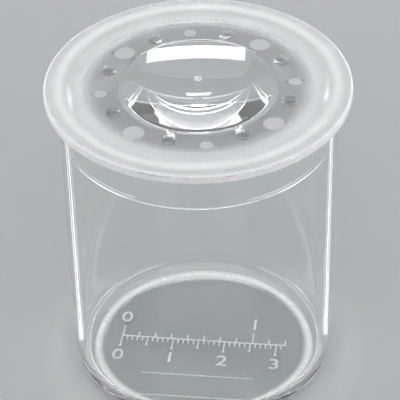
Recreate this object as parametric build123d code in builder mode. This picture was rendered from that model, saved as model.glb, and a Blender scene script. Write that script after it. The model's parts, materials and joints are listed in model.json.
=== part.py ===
"""A push-lid bug viewing jar: a clear tapered cup, a flat plug lid with air holes,
and a biconvex magnifier welded into the middle of the lid.

Millimetres. +Z is up, the origin is the centre of the foot, and +X runs along the
measuring scale on the floor of the jar.
"""
import math
import os

from build123d import *

# The jar: a tapered cup with a rounded foot
jar_height = 59.9            # table to the flat top of the mouth
jar_mouth_radius = 25.6      # outside of the wall at the mouth
jar_foot_radius = 24.7       # outside of the wall, carried down to the table
jar_wall = 1.6
jar_floor = 1.4              # floor thickness above the foot recess
foot_edge_radius = 2.7
floor_fillet_radius = 3.0
foot_ring_width = 1.9        # flat ring that the jar stands on
foot_recess_depth = 0.3      # hollow inside that ring
mouth_edge_radius = 0.3

# The lid: a flat disc with a plug skirt under it
lid_thickness = 1.8
lid_edge_radius = 0.5        # softening of the rim, above and below
rim_overhang = 2.6           # disc beyond the outside of the mouth
plug_clearance = 0.2         # skirt to the jar's inner wall, all the way down
plug_depth = 8.7             # skirt below the mouth
plug_wall = 1.4              # skirt thickness at its lower edge
plug_wall_gain = 0.4         # extra skirt thickness at its root
plug_root_radius = 1.4
plug_lead_in = 0.5           # chamfer that finds the mouth

# The ring between the lens and the skirt: air holes, and pads left by the ejector pins
air_hole_count = 8
air_hole_diameter = 2.5
air_hole_pitch_radius = 17.3
pin_pad_count = 4            # of each size
small_pin_pad_diameter = 2.5
large_pin_pad_diameter = 4.0
pin_pad_pitch_radius = 17.8
pin_pad_height = 0.3         # below the underside of the disc
lid_turn = 11.8              # degrees that the lid happens to be turned in the mouth

# The lens: a biconvex disc with a spigot, which drops into a stepped bore
lens_diameter = 29.3
lens_crown_radius = 88.0     # upper face
lens_belly_radius = 62.0     # lower face
lens_ledge_width = 0.6
lens_ledge_thickness = 0.5
lens_seat_clearance = 0.1    # rim to bore, and spigot to ledge
gate_mark_diameter = 1.4     # moulding mark on the crown of the lens
gate_mark_depth = 0.12

# Levels and radii worked out from the sizes above
wall_slope = (jar_mouth_radius - jar_foot_radius) / jar_height
floor_top = foot_recess_depth + jar_floor
mouth_inner_radius = jar_mouth_radius - jar_wall
floor_inner_radius = mouth_inner_radius - wall_slope * (jar_height - floor_top)
foot_recess_radius = jar_foot_radius - foot_edge_radius - foot_ring_width

lid_underside = jar_height
lid_top = lid_underside + lid_thickness
rim_radius = jar_mouth_radius + rim_overhang
plug_bottom = lid_underside - plug_depth
plug_top_radius = mouth_inner_radius - plug_clearance
plug_bottom_radius = plug_top_radius - wall_slope * plug_depth
plug_inner_bottom_radius = plug_bottom_radius - plug_wall
plug_inner_top_radius = plug_inner_bottom_radius - plug_wall_gain
hole_step = 360 / air_hole_count
pad_step = 360 / pin_pad_count

lens_radius = lens_diameter / 2
lens_seat_radius = lens_radius + lens_seat_clearance
ledge_radius = lens_radius - lens_ledge_width
ledge_top = lid_underside + lens_ledge_thickness
spigot_radius = ledge_radius - lens_seat_clearance


def dome_height(curve_radius, edge_radius):
    """Height of a lens face over the circle at its edge."""
    return curve_radius - math.sqrt(curve_radius**2 - edge_radius**2)


crown_top = lid_top + dome_height(lens_crown_radius, lens_radius)
belly_bottom = lid_underside - dome_height(lens_belly_radius, spigot_radius)

os.makedirs("parts", exist_ok=True)

# Jar: one wall section turned round the axis
with BuildPart() as jar:
    with BuildSketch(Plane.XZ):
        with BuildLine():
            FilletPolyline(
                (0, foot_recess_depth),
                (foot_recess_radius - foot_recess_depth, foot_recess_depth),
                (foot_recess_radius, 0),
                (jar_foot_radius, 0),
                (jar_mouth_radius, jar_height),
                (mouth_inner_radius, jar_height),
                (floor_inner_radius, floor_top),
                (0, floor_top),
                radius=(
                    0, 0, 0, foot_edge_radius, mouth_edge_radius, mouth_edge_radius, floor_fillet_radius, 0,
                ),
                close=True,
            )
        make_face()
    revolve(axis=Axis.Z)
jar.part.label = "jar"
export_step(jar.part, "parts/jar.step")

# Lid: disc, stepped bore for the lens and plug skirt in one turned section
with BuildPart() as lid:
    with BuildSketch(Plane.XZ):
        with BuildLine():
            FilletPolyline(
                (ledge_radius, lid_underside),
                (ledge_radius, ledge_top),
                (lens_seat_radius, ledge_top),
                (lens_seat_radius, lid_top),
                (rim_radius, lid_top),
                (rim_radius, lid_underside),
                (plug_top_radius, lid_underside),
                (plug_bottom_radius, plug_bottom + plug_lead_in),
                (plug_bottom_radius - plug_lead_in, plug_bottom),
                (plug_inner_bottom_radius, plug_bottom),
                (plug_inner_top_radius, lid_underside),
                radius=(0, 0, 0, 0, lid_edge_radius, lid_edge_radius, 0, 0, 0, 0, plug_root_radius),
                close=True,
            )
        make_face()
    revolve(axis=Axis.Z)
    # Ejector pads under the ring, small and large in turn
    with BuildSketch(Plane.XY.offset(lid_underside)):
        with PolarLocations(pin_pad_pitch_radius, pin_pad_count, start_angle=lid_turn):
            Circle(small_pin_pad_diameter / 2)
        with PolarLocations(pin_pad_pitch_radius, pin_pad_count, start_angle=lid_turn + pad_step / 2):
            Circle(large_pin_pad_diameter / 2)
    extrude(amount=-pin_pad_height)
    # Air holes right through the ring, midway between the pads
    with BuildSketch(Plane.XY.offset(lid_underside)):
        with PolarLocations(air_hole_pitch_radius, air_hole_count, start_angle=lid_turn + hole_step / 2):
            Circle(air_hole_diameter / 2)
    extrude(amount=lid_thickness, mode=Mode.SUBTRACT)
lid.part.label = "lid"
export_step(lid.part, "parts/lid.step")

# Lens: both faces are true spherical arcs, with a stepped rim between them
with BuildPart() as lens:
    with BuildSketch(Plane.XZ):
        with BuildLine():
            Line((0, belly_bottom), (0, crown_top))
            RadiusArc((0, crown_top), (lens_radius, lid_top), lens_crown_radius)
            Polyline(
                (lens_radius, lid_top),
                (lens_radius, ledge_top),
                (spigot_radius, ledge_top),
                (spigot_radius, lid_underside),
            )
            RadiusArc((spigot_radius, lid_underside), (0, belly_bottom), lens_belly_radius)
        make_face()
    revolve(axis=Axis.Z)
    # Moulding mark left on the crown, cut from well above it
    with BuildSketch(Plane.XY.offset(crown_top - gate_mark_depth)):
        Circle(gate_mark_diameter / 2)
    extrude(amount=gate_mark_diameter, mode=Mode.SUBTRACT)
lens.part.label = "lens"
export_step(lens.part, "parts/lens.step")
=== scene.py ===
# %% [markdown]
# # A bug viewing jar: clear cup, frosted lid, magnifier
# The real thing is moulded in polystyrene: a clear tapered cup, a frosted lid that plugs into its
# mouth, and a polished lens welded into the middle of the lid. The floor of the cup carries a small
# moulded scale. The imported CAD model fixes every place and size. Clear plastic shows its surface in
# each reflection and each bend of the light, so the cup is turned again here with fine, smooth walls,
# and so are the lid and its lens, as one clear body. They stand in for the CAD nodes.

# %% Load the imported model
import json
import math

import bmesh
import bpy
from mathutils import Matrix, Vector

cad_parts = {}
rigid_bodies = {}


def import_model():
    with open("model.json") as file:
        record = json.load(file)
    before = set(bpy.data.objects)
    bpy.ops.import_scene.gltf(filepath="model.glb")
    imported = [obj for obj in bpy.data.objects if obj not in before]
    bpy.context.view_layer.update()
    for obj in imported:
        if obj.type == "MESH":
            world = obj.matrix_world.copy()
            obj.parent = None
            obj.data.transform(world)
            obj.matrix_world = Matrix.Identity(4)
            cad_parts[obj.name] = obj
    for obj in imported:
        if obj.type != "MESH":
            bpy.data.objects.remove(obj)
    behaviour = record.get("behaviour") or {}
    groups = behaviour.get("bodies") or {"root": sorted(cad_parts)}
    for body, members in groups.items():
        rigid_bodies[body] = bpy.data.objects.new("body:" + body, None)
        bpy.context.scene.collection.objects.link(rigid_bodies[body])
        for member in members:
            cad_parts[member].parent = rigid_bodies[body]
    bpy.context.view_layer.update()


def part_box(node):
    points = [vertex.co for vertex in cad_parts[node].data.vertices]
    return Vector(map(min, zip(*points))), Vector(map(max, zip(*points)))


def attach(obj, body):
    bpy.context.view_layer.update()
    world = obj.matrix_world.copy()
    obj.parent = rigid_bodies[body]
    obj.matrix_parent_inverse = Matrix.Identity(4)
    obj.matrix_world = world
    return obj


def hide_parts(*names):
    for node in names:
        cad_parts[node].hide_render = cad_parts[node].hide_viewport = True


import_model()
MM = 0.001

# %% [markdown]
# ## The camera
# The photograph looks down at about 37 degrees from a little over half a metre away through a long
# lens. The jar's own ellipses give these numbers, so the camera is placed by distance, elevation and
# azimuth from a point on the jar's axis, and not by eye. A small roll levels it as the photograph is.
# Aiming a little higher than that point sets the framing without any lens shift.

# %% Camera at the photograph's angle
CAMERA_PIVOT = Vector((0, 0, 33.0 * MM))
CAMERA_AIM = Vector((-0.1 * MM, 0, 35.17 * MM))
CAMERA_DISTANCE = 563.0 * MM
CAMERA_ELEVATION = math.radians(37.48)
CAMERA_AZIMUTH = math.radians(7.67)
CAMERA_ROLL = math.radians(-1.27)
FOCAL_LENGTH = 270.0

towards_camera = Vector((
    math.cos(CAMERA_ELEVATION) * math.sin(CAMERA_AZIMUTH),
    -math.cos(CAMERA_ELEVATION) * math.cos(CAMERA_AZIMUTH),
    math.sin(CAMERA_ELEVATION),
))
bpy.ops.object.camera_add(location=CAMERA_PIVOT + CAMERA_DISTANCE * towards_camera)
camera = bpy.context.object
camera.name = "photo_camera"
camera.data.lens = FOCAL_LENGTH
look = (CAMERA_AIM - camera.location).to_track_quat("-Z", "Y").to_matrix()
camera.rotation_euler = (look @ Matrix.Rotation(CAMERA_ROLL, 3, "Z")).to_euler()
bpy.context.scene.camera = camera
print("camera at", [round(place, 3) for place in camera.location])

# %% [markdown]
# ## Turning a round piece
# Each moulding is round, so it can be drawn as half a section and taken once round the axis. By hand
# that is a circle whose edge is extruded and scaled from corner to corner of the section. The edges
# to go on from are found by their place, which stays true however many edges there are.

# %% Tools for rings
ROUND_STEPS = 192
SAME_PLACE = 1e-6


def start_ring(name, radius, height):
    """Adds one filled circle at a height, in millimetres, and leaves it open in edit mode."""
    bpy.ops.object.select_all(action="DESELECT")
    bpy.ops.mesh.primitive_circle_add(vertices=ROUND_STEPS, radius=radius * MM, fill_type="NGON")
    piece = bpy.context.object
    piece.name = piece.data.name = name
    bpy.ops.object.mode_set(mode="EDIT")
    bpy.ops.mesh.select_mode(type="EDGE")
    bpy.ops.transform.translate(value=(0, 0, height * MM))
    return piece


def pick_edges(piece, test):
    """Selects the edges whose two ends both pass a test of their place."""
    bpy.ops.mesh.select_all(action="DESELECT")
    mesh = bmesh.from_edit_mesh(piece.data)
    for edge in mesh.edges:
        if all(test(corner.co) for corner in edge.verts):
            edge.select_set(True)
    bmesh.update_edit_mesh(piece.data)


def pick_ring(piece, radius, height):
    """Selects the edges of the ring at a radius and height, in millimetres."""

    def on_ring(place):
        return max(abs(place.z - height * MM), abs(place.xy.length - radius * MM)) < SAME_PLACE

    pick_edges(piece, on_ring)


def extrude_rings(piece, outline):
    """Extrudes the ring at the outline's first point through all the others."""
    pick_ring(piece, *outline[0])
    for (radius, height), (next_radius, next_height) in zip(outline, outline[1:]):
        bpy.ops.mesh.extrude_edges_move()
        grow = next_radius / radius
        bpy.ops.transform.resize(value=(grow, grow, 1), center_override=(0, 0, 0))
        bpy.ops.transform.translate(value=(0, 0, (next_height - height) * MM))


print("each ring has", ROUND_STEPS, "edges")

# %% [markdown]
# ## Rounding corners and finishing
# A moulding has few sharp corners, so most corners of the section are bevelled. A bevel's offset runs
# along the two faces, so an arc of a given radius needs the radius times the tangent of half the
# corner's turn. Weighted normals at the end keep the flats flat beside the roundings, which matters
# more on clear plastic than on any other finish.

# %% Tools for corners and the last touch
SMALL_ARC_STEPS = 6
LARGE_ARC_STEPS = 10
SMOOTH_BELOW = math.radians(35)


def round_corner(piece, before, corner, after, fillet, segments=SMALL_ARC_STEPS):
    """Bevels the ring at one corner of the section to an arc of the fillet's radius."""
    incoming = Vector(corner) - Vector(before)
    outgoing = Vector(after) - Vector(corner)
    pick_ring(piece, *corner)
    offset = fillet * math.tan(incoming.angle(outgoing) / 2) * MM
    bpy.ops.mesh.bevel(offset=offset, offset_type="OFFSET", segments=segments, affect="EDGES")


def finish_piece(piece):
    """Closes seams, points the faces outwards and shades flats flat and curves smooth."""
    bpy.ops.mesh.select_all(action="SELECT")
    bpy.ops.mesh.remove_doubles(threshold=SAME_PLACE)
    bpy.ops.mesh.normals_make_consistent(inside=False)
    bpy.ops.object.mode_set(mode="OBJECT")
    bpy.ops.object.shade_smooth_by_angle(angle=SMOOTH_BELOW)
    bpy.ops.object.modifier_add(type="WEIGHTED_NORMAL")
    piece.modifiers[-1].keep_sharp = True
    bpy.ops.object.modifier_apply(modifier=piece.modifiers[-1].name)
    sides = [round(side / MM, 2) for side in piece.dimensions]
    print(piece.name, len(piece.data.polygons), "faces,", sides, "mm")


# %% [markdown]
# ## The cup
# A clear tapered cup with a rounded foot, which stands on a narrow flat ring round a shallow hollow.
# The wall is 1.6 mm all the way up and meets the floor in a wide inner fillet. That fillet and the
# foot's rounding make the bright arcs at the bottom of the real jar, so they are true arcs here.
# The mouth stops a hair below the lid's flange: two clear faces in one place would flicker.

# %% Cup
CONTACT_GAP = 0.05
MOUTH_RADIUS = 25.6
FOOT_RADIUS = 24.7
WALL = 1.6
FLOOR_TOP = 1.7
FOOT_HOLLOW_DEPTH = 0.3
FOOT_HOLLOW_RADIUS = 20.1
FOOT_ROUNDING = 2.7
FLOOR_FILLET = 3.0
MOUTH_ROUNDING = 0.3

seat_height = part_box("jar")[1].z / MM
mouth_height = seat_height - CONTACT_GAP
wall_slope = (MOUTH_RADIUS - FOOT_RADIUS) / seat_height
mouth_inner_radius = MOUTH_RADIUS - WALL
floor_inner_radius = mouth_inner_radius - wall_slope * (seat_height - FLOOR_TOP)

cup_outline = [
    (FOOT_HOLLOW_RADIUS - FOOT_HOLLOW_DEPTH, FOOT_HOLLOW_DEPTH),
    (FOOT_HOLLOW_RADIUS, 0),
    (FOOT_RADIUS, 0),
    (MOUTH_RADIUS, mouth_height),
    (mouth_inner_radius, mouth_height),
    (floor_inner_radius, FLOOR_TOP),
]
cup = start_ring("cup", *cup_outline[0])
extrude_rings(cup, cup_outline)
bpy.ops.mesh.edge_face_add()
floor_centre = (0, FLOOR_TOP)
cup_fillets = [FOOT_ROUNDING, MOUTH_ROUNDING, MOUTH_ROUNDING, FLOOR_FILLET]
corners = cup_outline[1:] + [floor_centre]
for before, corner, after, fillet in zip(corners, corners[1:], corners[2:], cup_fillets):
    round_corner(cup, before, corner, after, fillet, LARGE_ARC_STEPS)
finish_piece(cup)

# %% [markdown]
# ## The faces of the lens
# The magnifier is biconvex: a low crown above and a deeper belly below. Both faces are parts of
# spheres, and the eye sees the smallest flat on a polished lens, so each face is a set of close rings
# whose heights come from the sphere through its edge and its middle. The mould's gate has left a
# small round mark on the crown, so the crown's rings start at that mark.

# %% Rings of the crown and the belly
GATE_MARK_RADIUS = 0.7
GATE_MARK_DEPTH = 0.12
BELLY_INSET = 0.65
BELLY_EYE = 0.2
DOME_STEPS = 24

lid_low, lid_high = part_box("lid")
lens_low, lens_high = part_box("lens")
lid_top = lid_high.z / MM
lens_radius = lens_high.x / MM


def dome_rings(middle_height, edge_radius, edge_height, first_radius):
    """Rings of a spherical face, from a first radius out to its edge."""
    rise = middle_height - edge_height
    sphere = (edge_radius**2 + rise**2) / (2 * abs(rise))
    rings = []
    for step in range(DOME_STEPS + 1):
        radius = first_radius + (edge_radius - first_radius) * step / DOME_STEPS
        fall = sphere - math.sqrt(sphere**2 - radius**2)
        rings.append((radius, middle_height - math.copysign(fall, rise)))
    return rings


crown_rings = dome_rings(lens_high.z / MM, lens_radius, lid_top, GATE_MARK_RADIUS)
belly_rings = dome_rings(lens_low.z / MM, lens_radius - BELLY_INSET, seat_height, BELLY_EYE)
gate_floor = (GATE_MARK_RADIUS, crown_rings[0][1] - GATE_MARK_DEPTH)
lens_height = (lens_high.z - lens_low.z) / MM
print("lens is", round(lens_height, 2), "mm thick and", round(2 * lens_radius, 2), "mm across")

# %% [markdown]
# ## The lid with its lens
# A flat disc with a rounded rim, a plug skirt that goes into the mouth, and the lens welded into the
# middle. A weld in clear plastic leaves no line, so disc, skirt and lens are turned as one section:
# from the gate mark over the crown and out to the rim, down round the skirt, and back along the
# underside to the belly. A ring under the edge of the crown marks where the frosting will stop.

# %% Lid body and lens
RIM_ROUNDING = 0.5
PLUG_CLEARANCE = 0.2
PLUG_WALL = 1.4
PLUG_WALL_GAIN = 0.4
PLUG_ROOT_ROUNDING = 1.4
PLUG_LEAD_IN = 0.5
PLUG_END_ROUNDING = 0.35

rim_radius = lid_high.x / MM
plug_bottom = lid_low.z / MM
plug_top_radius = mouth_inner_radius - PLUG_CLEARANCE
plug_bottom_radius = plug_top_radius - wall_slope * (seat_height - plug_bottom)
plug_inner_radius = plug_bottom_radius - PLUG_WALL
rim_corners = [
    crown_rings[-1],
    (rim_radius, lid_top),
    (rim_radius, seat_height),
    (plug_top_radius, seat_height),
]
plug_root = (plug_inner_radius - PLUG_WALL_GAIN, seat_height)
skirt_end = [
    (plug_bottom_radius, plug_bottom + PLUG_LEAD_IN),
    (plug_bottom_radius - PLUG_LEAD_IN, plug_bottom),
    (plug_inner_radius, plug_bottom),
]
frost_edge = (lens_radius, seat_height)
underside = [plug_root, frost_edge] + belly_rings[::-1]
lid_outline = [gate_floor] + crown_rings + rim_corners[1:] + skirt_end + underside
lid = start_ring("lid_with_lens", *gate_floor)
extrude_rings(lid, lid_outline)
bpy.ops.mesh.edge_face_add()
for before, corner, after in zip(rim_corners, rim_corners[1:], rim_corners[2:]):
    round_corner(lid, before, corner, after, RIM_ROUNDING)
skirt_corners = [rim_corners[-1]] + skirt_end + [plug_root]
for before, corner, after in zip(skirt_corners, skirt_corners[1:], skirt_corners[2:]):
    round_corner(lid, before, corner, after, PLUG_END_ROUNDING)
round_corner(lid, skirt_end[-1], plug_root, frost_edge, PLUG_ROOT_ROUNDING, LARGE_ARC_STEPS)
finish_piece(lid)

# %% [markdown]
# ## Small discs round the axis
# The ring between the lens and the skirt has air holes, and round pads that the mould's ejector pins
# have left. All of them are discs on a circle round the axis, so one of each kind is modelled, by
# extruding a flat disc, and spun round as copies. A Boolean then joins them to the lid or cuts them out.

# %% Tools for discs
DISC_STEPS = 40


def empty_piece(name):
    """Starts a mesh with nothing in it, open in edit mode."""
    bpy.ops.object.select_all(action="DESELECT")
    bpy.ops.mesh.primitive_plane_add(size=MM)
    piece = bpy.context.object
    piece.name = piece.data.name = name
    bpy.ops.object.mode_set(mode="EDIT")
    bpy.ops.mesh.delete(type="VERT")
    return piece


def start_disc(diameter, pitch_radius, angle, height):
    """Adds one flat disc on a pitch circle, and returns its middle in metres."""
    bpy.ops.mesh.select_all(action="DESELECT")
    middle = Vector((pitch_radius * math.cos(angle), pitch_radius * math.sin(angle), height)) * MM
    bpy.ops.mesh.primitive_circle_add(
        vertices=DISC_STEPS, radius=diameter / 2 * MM, fill_type="NGON", location=middle)
    return middle


def raise_disc(middle, rise, widen):
    """Extrudes the selected disc upwards, and widens its new end by so much all round."""
    bpy.ops.mesh.extrude_region_move(TRANSFORM_OT_translate={"value": (0, 0, rise * MM)})
    mesh = bmesh.from_edit_mesh(bpy.context.object.data)
    radius = max((corner.co - middle).xy.length for corner in mesh.verts if corner.select) / MM
    wider = 1 + widen / radius
    bpy.ops.transform.resize(value=(wider, wider, 1), center_override=middle)


def spin_copies(count):
    """Spins copies of the piece just made round the axis, so that there are so many in all."""
    bpy.ops.mesh.select_linked()
    turn = math.tau * (count - 1) / count
    bpy.ops.mesh.spin(steps=count - 1, dupli=True, angle=turn, center=(0, 0, 0), axis=(0, 0, 1))


def combine(piece, other, operation):
    """Joins or cuts a piece with another one by a Boolean, and deletes the other one."""
    bpy.ops.mesh.select_all(action="SELECT")
    bpy.ops.mesh.normals_make_consistent(inside=False)
    bpy.ops.object.mode_set(mode="OBJECT")
    bpy.ops.object.select_all(action="DESELECT")
    piece.select_set(True)
    bpy.context.view_layer.objects.active = piece
    bpy.ops.object.modifier_add(type="BOOLEAN")
    boolean = piece.modifiers[-1]
    boolean.operation = operation
    boolean.solver = "EXACT"
    boolean.object = other
    bpy.ops.object.modifier_apply(modifier=boolean.name)
    bpy.data.objects.remove(other)


print("each disc has", DISC_STEPS, "edges")

# %% [markdown]
# ## Ejector pads
# Four small and four large pads stand in turn on the underside of the ring. A small bevel round each
# one is made first, as the disc's own widening. The pads reach up into the disc, so that the Boolean
# finds no two faces in one plane.

# %% Pads
PAD_COUNT = 4
SMALL_PAD_DIAMETER = 2.5
LARGE_PAD_DIAMETER = 4.0
PAD_PITCH_RADIUS = 17.8
PAD_HEIGHT = 0.3
PAD_BEVEL = 0.1
LID_TURN = math.radians(11.8)
CUTTER_REACH = 0.5

pads = empty_piece("ejector_pads")
pad_step = math.tau / PAD_COUNT
for diameter, angle in ((SMALL_PAD_DIAMETER, LID_TURN), (LARGE_PAD_DIAMETER, LID_TURN + pad_step / 2)):
    middle = start_disc(diameter - 2 * PAD_BEVEL, PAD_PITCH_RADIUS, angle, seat_height - PAD_HEIGHT)
    raise_disc(middle, PAD_BEVEL, PAD_BEVEL)
    raise_disc(middle, PAD_HEIGHT + CUTTER_REACH, 0)
    spin_copies(PAD_COUNT)
combine(lid, pads, "UNION")
print("lid with pads has", len(lid.data.polygons), "faces")

# %% [markdown]
# ## Air holes
# Eight holes go right through the disc, midway between the pads, and flare a little at the top. One
# drill is extruded from its foot to the flare, and then wider to well above the lid.

# %% Holes
HOLE_COUNT = 8
HOLE_DIAMETER = 2.5
HOLE_PITCH_RADIUS = 17.3
HOLE_FLARE = 0.12

drills = empty_piece("hole_drills")
hole_angle = LID_TURN + math.pi / HOLE_COUNT
drill_foot = seat_height - PAD_HEIGHT - CUTTER_REACH
hole_middle = start_disc(HOLE_DIAMETER, HOLE_PITCH_RADIUS, hole_angle, drill_foot)
raise_disc(hole_middle, lid_top - HOLE_FLARE - hole_middle.z / MM, 0)
raise_disc(hole_middle, HOLE_FLARE + CUTTER_REACH, HOLE_FLARE + CUTTER_REACH)
spin_copies(HOLE_COUNT)
combine(lid, drills, "DIFFERENCE")
bpy.ops.object.mode_set(mode="EDIT")
finish_piece(lid)

# %% [markdown]
# ## The moulded scale
# Raised lines on the floor of the cup: centimetres on the near side and inches on the far side of
# one base line, which is an inch and a quarter long and centred under the lens. The base line is a row
# of flat faces with a cut at both sides of each mark. A mark grows out of the row as an extruded edge,
# and the longer centimetre marks end in a small dot. This takes more steps than a Boolean of crossing
# bars, but leaves no sliver where the bars would meet in one plane.

# %% Marks and cuts
CM = 10
HALF_CM = 5
INCH = 25.4
INCH_PARTS = 8
SCALE_INCHES = 1.25
SCALE_LENGTH = SCALE_INCHES * INCH
SCALE_Y = -0.3
STROKE_WIDTH = 0.24
MM_MARK = 1.2
HALF_CM_MARK = 2.3
CM_MARK = 3.0
EIGHTH_MARK = 1.3
INCH_MARK = 2.9
CUT_DECIMALS = 4

scale_zero = -SCALE_LENGTH / 2
cm_marks = []
for count in range(int(SCALE_LENGTH) + 1):
    dotted = count % HALF_CM == 0
    length = CM_MARK if count % CM == 0 else HALF_CM_MARK if dotted else MM_MARK
    cm_marks.append((scale_zero + count, length, dotted))
inch_marks = []
for count in range(round(SCALE_INCHES * INCH_PARTS) + 1):
    length = INCH_MARK if count % INCH_PARTS == 0 else EIGHTH_MARK
    inch_marks.append((scale_zero + count * INCH / INCH_PARTS, length))
middles = [mark[0] for mark in cm_marks + inch_marks]
cuts = sorted({round(x + side * STROKE_WIDTH / 2, CUT_DECIMALS) for x in middles for side in (-1, 1)})
print(len(cm_marks), "centimetre marks,", len(inch_marks), "inch marks,", len(cuts), "cuts")

# %% [markdown]
# ## Tools for the lines
# Each mark takes the edges of the row between its own cuts, and extrudes them. A dot is the same edge,
# taken on in small steps whose width follows a circle, from the neck where the mark meets the circle.

# %% Tools for marks and dots
DOT_RADIUS = 0.26
DOT_STEPS = 8
NEAR_SIDE = -1
FAR_SIDE = 1


def add_stroke(x, y, width, length):
    """Adds one flat rectangle on the floor of the cup, centred at x and y, in millimetres."""
    bpy.ops.mesh.select_all(action="DESELECT")
    bpy.ops.mesh.primitive_plane_add(size=1, location=(x * MM, y * MM, FLOOR_TOP * MM))
    bpy.ops.transform.resize(value=(width * MM, length * MM, 1), center_override=(x * MM, y * MM, 0))


def pull_edges(x_step, y_step):
    """Extrudes the selected edges by a step, in millimetres."""
    bpy.ops.mesh.extrude_edges_move()
    bpy.ops.transform.translate(value=(x_step * MM, y_step * MM, 0))


def grow_mark(piece, x, side, length):
    """Extrudes one mark from one side of the base line."""

    def on_mark(place):
        off_line = abs(place.y - (SCALE_Y + side * STROKE_WIDTH / 2) * MM)
        return off_line < SAME_PLACE and abs(place.x - x * MM) < STROKE_WIDTH / 2 * MM + SAME_PLACE

    pick_edges(piece, on_mark)
    pull_edges(0, side * (length - STROKE_WIDTH / 2))


def grow_dot(x, side):
    """Carries the end of a mark on round a dot, whose width follows a circle."""
    neck = math.asin(STROKE_WIDTH / 2 / DOT_RADIUS)
    turns = [neck + (math.pi - 2 * neck) * step / DOT_STEPS for step in range(DOT_STEPS + 1)]
    for turn, next_turn in zip(turns, turns[1:]):
        pull_edges(0, side * DOT_RADIUS * (math.cos(turn) - math.cos(next_turn)))
        wider = math.sin(next_turn) / math.sin(turn)
        bpy.ops.transform.resize(value=(wider, 1, 1), center_override=(x * MM, 0, 0))


print("each dot has", DOT_STEPS, "steps")

# %% [markdown]
# ## Drawing the lines
# The row starts as one small plane, whose end edge is extruded from cut to cut, and then the marks grow
# out of it. Two thin lines nearer the camera frame a bare plate. At last the flat drawing is extruded
# upwards as a whole, as the cut lines of a mould come out in the plastic.

# %% Lines of the scale
STROKE_HEIGHT = 0.14
PLATE_LINE_WIDTH = 0.12
PLATE_LINE_LENGTH = 21.0
PLATE_FAR_Y = -10.75
PLATE_NEAR_Y = -17.0

scale = empty_piece("scale_lines")
bpy.ops.mesh.select_mode(type="EDGE")
add_stroke((cuts[0] + cuts[1]) / 2, SCALE_Y, cuts[1] - cuts[0], STROKE_WIDTH)
pick_edges(scale, lambda place: abs(place.x - cuts[1] * MM) < SAME_PLACE)
for cut, next_cut in zip(cuts[1:], cuts[2:]):
    pull_edges(next_cut - cut, 0)
dot_neck = math.sqrt(DOT_RADIUS**2 - (STROKE_WIDTH / 2) ** 2)
for x, length, dotted in cm_marks:
    grow_mark(scale, x, NEAR_SIDE, length - dot_neck if dotted else length)
    if dotted:
        grow_dot(x, NEAR_SIDE)
for x, length in inch_marks:
    grow_mark(scale, x, FAR_SIDE, length)
add_stroke(0, PLATE_FAR_Y, PLATE_LINE_LENGTH, PLATE_LINE_WIDTH)
add_stroke(0, PLATE_NEAR_Y, PLATE_LINE_LENGTH, PLATE_LINE_WIDTH)
bpy.ops.mesh.select_all(action="SELECT")
bpy.ops.mesh.extrude_region_move(TRANSFORM_OT_translate={"value": (0, 0, STROKE_HEIGHT * MM)})
finish_piece(scale)

# %% [markdown]
# ## The numbers of the scale
# Plain figures stand at the whole centimetres and inches. Text is the natural start: it is extruded,
# made a mesh, and moved to its place in the mesh, so that the object itself stays at the origin.

# %% Numbers
FIGURE_HEIGHT = 3.05
FIGURE_WIDEN = 1.15
CAPITAL_SHARE = 0.729
CM_FIGURE_Y = -7.4
INCH_FIGURE_Y = 3.95

whole_cm = int(SCALE_LENGTH) // CM
whole_inches = int(SCALE_INCHES)
figures = [(str(count), scale_zero + CM * count, CM_FIGURE_Y) for count in range(whole_cm + 1)]
figures += [(str(count), scale_zero + INCH * count, INCH_FIGURE_Y) for count in range(whole_inches + 1)]
made_figures = []
for figure, x, y in figures:
    bpy.ops.object.text_add(location=(x * MM, y * MM, FLOOR_TOP * MM))
    text = bpy.context.object
    text.data.body = figure
    text.data.align_x = "CENTER"
    text.data.size = FIGURE_HEIGHT / CAPITAL_SHARE * MM
    text.data.extrude = STROKE_HEIGHT / 2 * MM
    bpy.ops.object.convert(target="MESH")
    text = bpy.context.object
    text.scale.x = FIGURE_WIDEN
    text.location.z += STROKE_HEIGHT / 2 * MM
    bpy.ops.object.transform_apply(location=True, rotation=True, scale=True)
    made_figures.append(text)
bpy.ops.object.select_all(action="DESELECT")
for text in made_figures:
    text.select_set(True)
numbers = made_figures[0]
bpy.context.view_layer.objects.active = numbers
bpy.ops.object.join()
numbers.name = numbers.data.name = "scale_numbers"
bpy.ops.object.transform_apply(location=True, rotation=True, scale=True)
bpy.ops.object.mode_set(mode="EDIT")
finish_piece(numbers)

# %% [markdown]
# ## Writing shader maths as sums
# A finish is a graph of nodes, and long graphs are hard to read. This small class wraps one socket.
# Sums and products of wires add the Math nodes that they stand for, and one method adds any other
# node: its settings first, then the value or the wire of each socket.

# %% A wire between nodes


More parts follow.
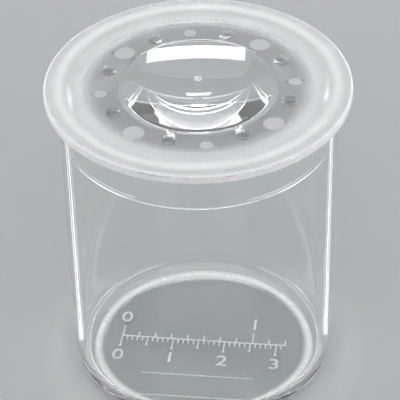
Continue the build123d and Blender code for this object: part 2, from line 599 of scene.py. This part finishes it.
class Wire:
    """One socket of a node tree, which can be used in plain arithmetic."""

    def __init__(self, tree, socket=None):
        self.tree = tree
        self.socket = socket

    def node(self, kind, settings=None, sockets=None, output=0):
        """Adds a node and returns one of its outputs."""
        made = self.tree.nodes.new(kind)
        for name, value in (settings or {}).items():
            setattr(made, name, value)
        for name, value in (sockets or {}).items():
            if isinstance(value, Wire):
                self.tree.links.new(value.socket, made.inputs[name])
            else:
                made.inputs[name].default_value = value
        return Wire(self.tree, made.outputs[output])

    def maths(self, operation, first, second=0.0):
        return self.node("ShaderNodeMath", {"operation": operation}, {0: first, 1: second})

    def __add__(self, other):
        return self.maths("ADD", self, other)

    def __radd__(self, other):
        return self.maths("ADD", other, self)

    def __sub__(self, other):
        return self.maths("SUBTRACT", self, other)

    def __rsub__(self, other):
        return self.maths("SUBTRACT", other, self)

    def __mul__(self, other):
        return self.maths("MULTIPLY", self, other)

    def __rmul__(self, other):
        return self.maths("MULTIPLY", other, self)

    def __pow__(self, other):
        return self.maths("POWER", self, other)

    def between(self, low, high):
        """0 below low, 1 above high, and a smooth step from one to the other."""
        settings = {"interpolation_type": "SMOOTHSTEP"}
        return self.node("ShaderNodeMapRange", settings, {"Value": self, "From Min": low, "From Max": high})


# %% [markdown]
# ## Helpers for the finishes
# Every finish here starts from one Principled shader, varies it by noise and by place on the piece's own
# coordinates, and may have some white scatter mixed in. These helpers hold those steps once.

# %% Helpers for finishes
MILK_ROUGHNESS = 0.6


def new_finish(name):
    """A material with one Principled shader: the material, a wire to start from, and the shader."""
    finish = bpy.data.materials.new(name)
    finish.use_nodes = True
    shader = finish.node_tree.nodes["Principled BSDF"]
    return finish, Wire(finish.node_tree), shader


def feed(start, shader, **sockets):
    """Links wires to the shader's sockets, named in lower case with _ for a space."""
    for name, wire in sockets.items():
        start.tree.links.new(wire.socket, shader.inputs[name.replace("_", " ").title()])


def noise(start, scale, detail=3.0, stretch=(1, 1, 1)):
    """Noise on the piece's own coordinates, with so many waves to the metre."""
    place = start.node("ShaderNodeTexCoord", output="Object")
    stretched = start.node("ShaderNodeMapping", None, {"Vector": place, "Scale": stretch})
    return start.node("ShaderNodeTexNoise", None, {"Vector": stretched, "Scale": scale, "Detail": detail})


def mix_colours(start, share, low, high):
    """One colour at 0 and another at 1."""
    settings = {"data_type": "RGBA"}
    return start.node("ShaderNodeMix", settings, {"Factor": share, 6: low, 7: high}, output=2)


def bump(start, height, depth, strength):
    """A bump of a real depth in metres."""
    return start.node("ShaderNodeBump", None, {"Height": height, "Distance": depth, "Strength": strength})


def round_place(start):
    """Distance from the jar's axis, angle round it and height, on the piece's own coordinates."""
    place = start.node("ShaderNodeTexCoord", output="Object")
    x = start.node("ShaderNodeSeparateXYZ", None, {"Vector": place}, output="X")
    y = start.node("ShaderNodeSeparateXYZ", None, {"Vector": place}, output="Y")
    z = start.node("ShaderNodeSeparateXYZ", None, {"Vector": place}, output="Z")
    return (x * x + y * y) ** 0.5, start.maths("ARCTAN2", y, x), z


def past(place, fade):
    """0 below the first of two places and 1 above the second, in millimetres."""
    low, high = fade
    return place.between(low * MM, high * MM)


def add_milk(finish, start, shader, share, colour):
    """Mixes a share of rough white scatter into a clear finish."""
    milk_sockets = {"Base Color": colour, "Roughness": MILK_ROUGHNESS}
    milky = start.node("ShaderNodeBsdfPrincipled", None, milk_sockets)
    clear = Wire(start.tree, shader.outputs[0])
    blend = start.node("ShaderNodeMixShader", None, {0: share, 1: clear, 2: milky})
    start.tree.links.new(blend.socket, finish.node_tree.nodes["Material Output"].inputs["Surface"])


# %% [markdown]
# ## Clear polystyrene
# The cup is polished and clear, and what shows it is mostly what it bends. A flawless wall would look
# unreal, so it gets the faint waves of a moulding, fine hairlines from handling, and a few cloudy
# finger marks, all as small changes of tint, roughness and normal. The refractive index of
# polystyrene is 1.59.

# %% Clear plastic of the cup
POLYSTYRENE_IOR = 1.59
CLEAN_TINT = (0.985, 0.992, 0.992, 1)
SMUDGED_TINT = (0.965, 0.975, 0.978, 1)
WAVE_DEPTH = 0.03 * MM


def clear_finish(name, transmission=1.0):
    """A new finish that lets light through and bends it as polystyrene does."""
    finish, start, shader = new_finish(name)
    shader.inputs["Transmission Weight"].default_value = transmission
    shader.inputs["IOR"].default_value = POLYSTYRENE_IOR
    return finish, start, shader


cup_clear, start, shader = clear_finish("cup_clear")
handled = noise(start, 90).between(0.45, 0.65)
hairlines = handled * noise(start, 2600, 2.0, (1, 1, 0.03)).between(0.63, 0.72)
smudges = noise(start, 70, 4.0).between(0.52, 0.72)
tint = mix_colours(start, smudges, CLEAN_TINT, SMUDGED_TINT)
waves = bump(start, noise(start, 110, 1.0, (1, 1, 0.5)), WAVE_DEPTH, 0.5)
feed(start, shader, base_color=tint, normal=waves)
cup.data.materials.append(cup_clear)
print("cup_clear has", len(cup_clear.node_tree.nodes), "nodes")

# %% [markdown]
# ## The painted bright band
# Where the floor turns up into the wall, a band of white scatter streaked in fine spokes is mixed into
# the clear finish: a painted highlight for the bright ring that light makes in the foot and the fillet.
# The band is rougher too. It is a product of soft steps in radius and height. The spokes are noise that
# is much finer round the axis than along the radius.

# %% Painted bright band in the cup's finish
PAINTED_BAND_WHITE = (0.98, 0.985, 0.99, 1)
BAND_FOOT = (FLOOR_TOP - 0.2, FLOOR_TOP - 0.05)
BAND_TOP = (2.6, 4.0)
BAND_INSIDE = (19.1, 20.3)
BAND_OUTSIDE = (20.6, 21.5)
SPOKE_SCALE = 5200
SPOKE_ARC = 0.02
SPOKE_STRETCH = 0.03

radius, angle, z = round_place(start)
inside = past(z, BAND_FOOT) * (1 - past(z, BAND_TOP))
band = inside * past(radius, BAND_INSIDE) * (1 - past(radius, BAND_OUTSIDE))
spoke_axes = {"X": SPOKE_ARC * angle, "Y": SPOKE_STRETCH * radius}
spoke_place = start.node("ShaderNodeCombineXYZ", None, spoke_axes)
spoke_sockets = {"Vector": spoke_place, "Scale": SPOKE_SCALE, "Detail": 2.0}
spokes = start.node("ShaderNodeTexNoise", None, spoke_sockets).between(0.25, 0.75)
roughness = 0.008 + 0.03 * smudges + 0.10 * hairlines + band * (0.1 + 0.2 * spokes)
feed(start, shader, roughness=roughness)
# Painted highlight: white scatter in the band, streaked by the spokes.
add_milk(cup_clear, start, shader, band * (0.55 + 0.4 * spokes), PAINTED_BAND_WHITE)
print("with its band, cup_clear has", len(cup_clear.node_tree.nodes), "nodes")

# %% [markdown]
# ## The lid's clear skirt
# The skirt is as clear as the cup, but it rubs along the mouth each time the lid goes in, so it has
# more upright scratches. This is the first finish of the lid, which all its faces start with.

# %% Clear plastic of the skirt
CLEAR_TINT = (0.985, 0.99, 0.99, 1)
RUBBED_TINT = (0.955, 0.965, 0.97, 1)

skirt_clear, start, shader = clear_finish("skirt_clear")
rubbed = noise(start, 140).between(0.42, 0.62)
scratches = rubbed * noise(start, 2200, 2.0, (1, 1, 0.08)).between(0.6, 0.72)
haze = noise(start, 90, 4.0).between(0.5, 0.75)
tint = mix_colours(start, haze, CLEAR_TINT, RUBBED_TINT)
roughness = 0.015 + 0.14 * scratches + 0.04 * haze
feed(start, shader, base_color=tint, roughness=roughness)
lid.data.materials.append(skirt_clear)
print("skirt_clear has", len(skirt_clear.node_tree.nodes), "nodes")

# %% [markdown]
# ## Places on the frosted disc
# The disc is etched at its skin, and the overhang is grainy. Painted light and shade also vary it by
# place: the thin ring of holes gets a painted grey shade, and painted light whitens the frost towards
# the skirt, most over the mouth, and at the rim. Masks for these places are soft steps in radius and
# height. The rim has dark grey dashes on a narrow part of its edge, on the front side only, and those
# are noise.

# %% Masks of the disc
disc_frost, start, shader = clear_finish("disc_frost")
radius, angle, z = round_place(start)
rim = past(radius, (rim_radius - 0.7, rim_radius - 0.3))
plateau = past(radius, (plug_root[0] - 3.4, plug_root[0]))
overhang = past(radius, (MOUTH_RADIUS - 0.2, MOUTH_RADIUS + 1.4))
mouth_band = past(radius, (plug_top_radius, MOUTH_RADIUS - 0.2)) * (1 - overhang)
upper = past(z, (seat_height + 0.6, lid_top - 0.2))
pad_face = 1 - past(z, (seat_height - PAD_HEIGHT + 0.05, seat_height - 0.05))
pad = (1 - 0.8 * plateau) * pad_face
edge_foot = past(z, (lid_top - 0.5, lid_top - 0.4))
edge_top = past(z, (lid_top - 0.3, lid_top - 0.2))
away_from_front = start.maths("ABSOLUTE", angle + math.pi / 2)
# Dark grey dashes on a narrow part of the rim's edge, on the front side only.
front_rim_edge = rim * edge_foot * (1 - edge_top) * (1 - away_from_front.between(0.35, 0.7))
dashes = front_rim_edge * noise(start, 480, 4.0, (1, 1, 3)).between(0.48, 0.56)
print("masks of the disc take", len(disc_frost.node_tree.nodes), "nodes")

# %% [markdown]
# ## Frosted polystyrene
# The plastic of the disc is clear inside, so it lets light through with a blur and throws some of it
# back as white. Two shaders make this: a rough clear one and a milky one, mixed by place. The top has
# only a fine haze over the ring of holes, so that the underside shows through it. There the ring takes
# a painted grey shade, and the pads in it are paler. Painted light adds white over the plateau, the
# mouth and the rim. A fine grain and slow clouds vary the etch.

# %% Frosted plastic of the disc
FROST_WHITE = (0.97, 0.975, 0.98, 1)
# Greys of the painted shade on the ring of holes.
RING_SHADE_DARK = (0.24, 0.25, 0.27, 1)
RING_SHADE_PALE = (0.42, 0.43, 0.45, 1)
DASH_GREY = (0.25, 0.26, 0.28, 1)
GRAIN_DEPTH = 0.01 * MM

shader.inputs["Base Color"].default_value = CLEAR_TINT
grain = noise(start, 2400, 3.0).between(0.35, 0.65)
clouds = noise(start, 130, 4.0)
etch = 0.72 + 0.35 * clouds + (0.08 + 0.12 * overhang) * grain
# Painted light: the top's white share rises over the plateau, the mouth and the rim.
top_milk_and_glow = 0.08 + 0.24 * plateau + 0.35 * mouth_band - 0.02 * overhang + 0.25 * rim
under_milk = 0.6 + 0.35 * pad
milk_and_glow = (upper * top_milk_and_glow + (1 - upper) * under_milk) * etch
roughness = 0.34 + 0.08 * clouds - 0.24 * upper * (1 - 0.5 * plateau)
feed(start, shader, roughness=roughness, normal=bump(start, grain, GRAIN_DEPTH, 0.06))
# Painted shade: off the pads, the underside of the ring of holes is coloured dark grey.
ring_shade_share = (1 - upper) * (1 - plateau) * (1 - pad)
ring_painted_shade = mix_colours(start, clouds, RING_SHADE_DARK, RING_SHADE_PALE)
frost_and_shade = mix_colours(start, ring_shade_share, FROST_WHITE, ring_painted_shade)
frost_shade_and_dashes = mix_colours(start, 0.7 * dashes, frost_and_shade, DASH_GREY)
add_milk(disc_frost, start, shader, milk_and_glow, frost_shade_and_dashes)
print("disc_frost has", len(disc_frost.node_tree.nodes), "nodes")

# %% [markdown]
# ## Frost on the disc alone
# The frost covers the disc and the curve at the root of the skirt, and stops at the edge of the lens.
# Its faces are picked in edit mode by their place, as a maker would mask them.

# %% Mask for the frost


def wear_finish(piece, finish, chosen):
    """Gives a finish to the faces whose radius and height, in millimetres, pass a test."""
    piece.data.materials.append(finish)
    piece.active_material_index = len(piece.data.materials) - 1
    bpy.ops.object.select_all(action="DESELECT")
    piece.select_set(True)
    bpy.context.view_layer.objects.active = piece
    bpy.ops.object.mode_set(mode="EDIT")
    bpy.ops.mesh.select_mode(type="FACE")
    mesh = bmesh.from_edit_mesh(piece.data)
    for face in mesh.faces:
        middle = face.calc_center_median() / MM
        face.select_set(chosen(middle.xy.length, middle.z))
    bmesh.update_edit_mesh(piece.data)
    print(finish.name, "on", sum(face.select for face in mesh.faces), "faces")
    bpy.ops.object.material_slot_assign()
    bpy.ops.object.mode_set(mode="OBJECT")


def on_disc(radius, height):
    """True on the disc and its pads, and on the curve between its underside and the skirt."""
    root = radius < plug_root[0] and height > seat_height - PLUG_ROOT_ROUNDING
    return radius > lens_radius and (root or height > seat_height - SAME_PLACE / MM)


wear_finish(lid, disc_frost, on_disc)

# %% [markdown]
# ## The polished lens
# The same plastic again, with the best polish on the object. The mould insert was turned, so a trace
# of fine waves is left, and a lens that lives in a pocket or a sandbox has picked up hairlines. Only
# the gate mark in the middle of the crown is rough, where the plastic was broken off.

# %% Lens plastic
DUSTY_TINT = (0.93, 0.94, 0.945, 1)
LENS_WAVE_DEPTH = 0.004 * MM
GATE_FADE = (GATE_MARK_RADIUS, GATE_MARK_RADIUS + 0.25)

lens_polish, start, shader = clear_finish("lens_polish")
wiped = noise(start, 160).between(0.5, 0.7)
hairlines = wiped * noise(start, 1500, 2.0, (0.06, 1, 1)).between(0.66, 0.74)
dust = noise(start, 2400, 1.0).between(0.76, 0.8)
tint = mix_colours(start, dust, CLEAR_TINT, DUSTY_TINT)
roughness = 0.004 + 0.08 * hairlines + 0.15 * dust
waves = bump(start, noise(start, 260, 1.0), LENS_WAVE_DEPTH, 0.4)
feed(start, shader, base_color=tint, roughness=roughness, normal=waves)
radius, _, z = round_place(start)
gate = (1 - past(radius, GATE_FADE)) * past(z, (lid_top, lid_top + 0.2))
broken = noise(start, 2500, 3.0).between(0.4, 0.6)
add_milk(lens_polish, start, shader, gate * (0.2 + 0.6 * broken), FROST_WHITE)
print("lens_polish has", len(lens_polish.node_tree.nodes), "nodes")

# %% [markdown]
# ## Polish on the lens alone
# The crown, the belly and the narrow clear band round the belly all lie inside the lens's edge, so the
# radius alone picks their faces.

# %% Mask for the polish


def on_lens(radius, height):
    """True inside the edge of the lens, at any height."""
    return radius < lens_radius


wear_finish(lid, lens_polish, on_lens)

# %% [markdown]
# ## The scale's raised lines
# In the real cup the lines are the same clear plastic, but their matt tops catch the light and read
# as white. The finish is a dense frost: mostly white scatter with a little light let through.

# %% Frosted tops of the scale
WORN_LINE = (0.90, 0.91, 0.92, 1)
WHITE_LINE = (0.98, 0.98, 0.985, 1)
LINE_GRAIN_DEPTH = 0.01 * MM

scale_frost, start, shader = clear_finish("scale_frost", transmission=0.25)
wear = noise(start, 900, 4.0).between(0.35, 0.65)
tint = mix_colours(start, wear, WORN_LINE, WHITE_LINE)
roughness = 0.42 + 0.2 * wear
grain = bump(start, noise(start, 7000, 2.0), LINE_GRAIN_DEPTH, 0.4)
feed(start, shader, base_color=tint, roughness=roughness, normal=grain)
for piece in (scale, numbers):
    piece.data.materials.clear()
    piece.data.materials.append(scale_frost)
print("scale_frost has", len(scale_frost.node_tree.nodes), "nodes")

# %% [markdown]
# ## The table
# A plain pale table carries the jar. It is stage and not part of the object. It lies a hair below the
# foot, because two faces in one plane would flicker through the clear plastic.

# %% Table
TABLE_SIZE = 6.0
TABLE_DROP = 0.05 * MM
TABLE_DARK = (0.40, 0.415, 0.425, 1)
TABLE_PALE = (0.44, 0.45, 0.46, 1)
TABLE_ROUGHNESS = 0.7
TABLE_SHINE = 0.2

bpy.ops.object.select_all(action="DESELECT")
bpy.ops.mesh.primitive_plane_add(size=TABLE_SIZE, location=(0, 0, -TABLE_DROP))
table = bpy.context.object
table.name = "table"
table_paint, start, shader = new_finish("table_paint")
shader.inputs["Roughness"].default_value = TABLE_ROUGHNESS
shader.inputs["Specular IOR Level"].default_value = TABLE_SHINE
paint = mix_colours(start, noise(start, 3.0), TABLE_DARK, TABLE_PALE)
feed(start, shader, base_color=paint)
table.data.materials.append(table_paint)
print("table is", TABLE_SIZE, "m wide")

# %% [markdown]
# ## Soft studio light
# A broad softbox overhead lights the table and the frosted lid, and one in front fills the near side.
# Clear plastic needs something to show, so a small softbox behind the jar is mirrored in the far part of
# the lens, and low strips behind it and at its sides draw the bright arcs of the skirt, the foot and
# the holes. The small softbox leans over, so that its reflection has the shape that the photograph shows.

# %% Lamps
JAR_MIDDLE = (0, 0, 32 * MM)


def softbox(name, place, aim, width, height, radiance, spread=math.pi):
    """An area lamp that faces a point. Its size, beam and brightness give its power."""
    bpy.ops.object.light_add(type="AREA", location=place)
    lamp = bpy.context.object
    lamp.name = name
    lamp.data.shape = "RECTANGLE"
    lamp.data.size = width
    lamp.data.size_y = height
    lamp.data.spread = spread
    beam = 1 - spread / 2 / math.tan(spread / 2)
    lamp.data.energy = radiance * beam * math.pi * width * height
    lamp.rotation_euler = (Vector(aim) - Vector(place)).to_track_quat("-Z", "Y").to_euler()
    lamp.visible_camera = False
    print(name, "%.2g W" % lamp.data.energy)


softbox("overhead_softbox", (0.0, 0.0, 1.2), JAR_MIDDLE, 2.0, 2.0, 1.0)
softbox("front_softbox", (0.1, -0.8, 0.9), JAR_MIDDLE, 1.6, 0.6, 1.6)
softbox("back_softbox", (-0.12, 0.867, 0.415), (-0.1, 0.68, 0.03), 0.232, 0.148, 8.0)
softbox("back_strip", (0.0, 1.2, 0.16), JAR_MIDDLE, 3.0, 0.28, 6.5)
softbox("left_strip", (-1.3, 0.0, 0.16), JAR_MIDDLE, 2.6, 0.28, 5.0)
softbox("right_strip", (1.3, 0.0, 0.16), JAR_MIDDLE, 2.6, 0.28, 5.0)

# %% [markdown]
# ## Bright lines in the wall
# The real wall shows an upright bright line near each side. There the inside of the wall starts to
# reflect totally: a ray from the camera is turned some 34 degrees to the side and goes on down towards
# the table. A photographer stands a thin white card beside glassware for this. Here a thin strip with
# a narrow beam, as a grid gives it, leans across those rays on each side, so that it lights little else.

# %% Strips for the wall
LINE_EXIT = (24.4, -6.5)
LINE_MIDDLE = 31.2
LINE_TURN = math.radians(34.3)
LINE_RUN = 19.0
LINE_LENGTH = 39.5
LINE_WIDTH = 1.0
LINE_RADIANCE = 2.4
LINE_BEAM = math.radians(30)

camera_right = Vector((math.cos(CAMERA_AZIMUTH), math.sin(CAMERA_AZIMUTH), 0))
camera_back = Vector((-math.sin(CAMERA_AZIMUTH), math.cos(CAMERA_AZIMUTH), 0))
upwards = Vector((0, 0, 1))


def wall_line(name, side):
    """A thin strip to the left (-1) or right (1) of the jar, as the camera sees it."""
    sideways, back = LINE_EXIT
    leaves = (side * sideways * camera_right + back * camera_back + LINE_MIDDLE * upwards) * MM
    level = side * math.sin(LINE_TURN) * camera_right + math.cos(LINE_TURN) * camera_back
    place = leaves + LINE_RUN * MM * (level - math.tan(CAMERA_ELEVATION) * upwards)
    softbox(name, place, leaves, LINE_WIDTH * MM, LINE_LENGTH * MM, LINE_RADIANCE, LINE_BEAM)


wall_line("left_line", -1)
wall_line("right_line", 1)

# %% [markdown]
# ## A dim world
# Plastic in an even white room would vanish, so the world stays dim. Light has to pass many clear faces,
# so it may bounce often, and it isn't blurred on the way: a blur would leave the floor of the cup dark.
# The Standard view shows the greys as they are lit.

# %% World
WORLD_LEVEL = 0.18
LIGHT_BOUNCES = 32

studio = bpy.data.worlds.new("studio")
bpy.context.scene.world = studio
studio.use_nodes = True
background = studio.node_tree.nodes["Background"]
background.inputs["Color"].default_value = (WORLD_LEVEL, WORLD_LEVEL, WORLD_LEVEL, 1)
bpy.context.scene.view_settings.view_transform = "Standard"
bpy.context.scene.cycles.max_bounces = LIGHT_BOUNCES
bpy.context.scene.cycles.transmission_bounces = LIGHT_BOUNCES
bpy.context.scene.cycles.glossy_bounces = LIGHT_BOUNCES
bpy.context.scene.cycles.blur_glossy = 0
print("world at", WORLD_LEVEL, "with", LIGHT_BOUNCES, "bounces")

# %% [markdown]
# ## Which body carries each piece
# The cup and its scale stay on the table. The lid and the lens rise together when the lid comes off.

# %% Bodies and stand-ins
for piece, body, slot in (
    (cup, "jar", "clear_plastic"),
    (scale, "jar", "clear_plastic"),
    (numbers, "jar", "clear_plastic"),
    (lid, "lid", "frosted_plastic"),
):
    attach(piece, body)
    print(piece.name, "rides on", body, "in", slot)
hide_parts("jar")
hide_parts("lid", "lens")
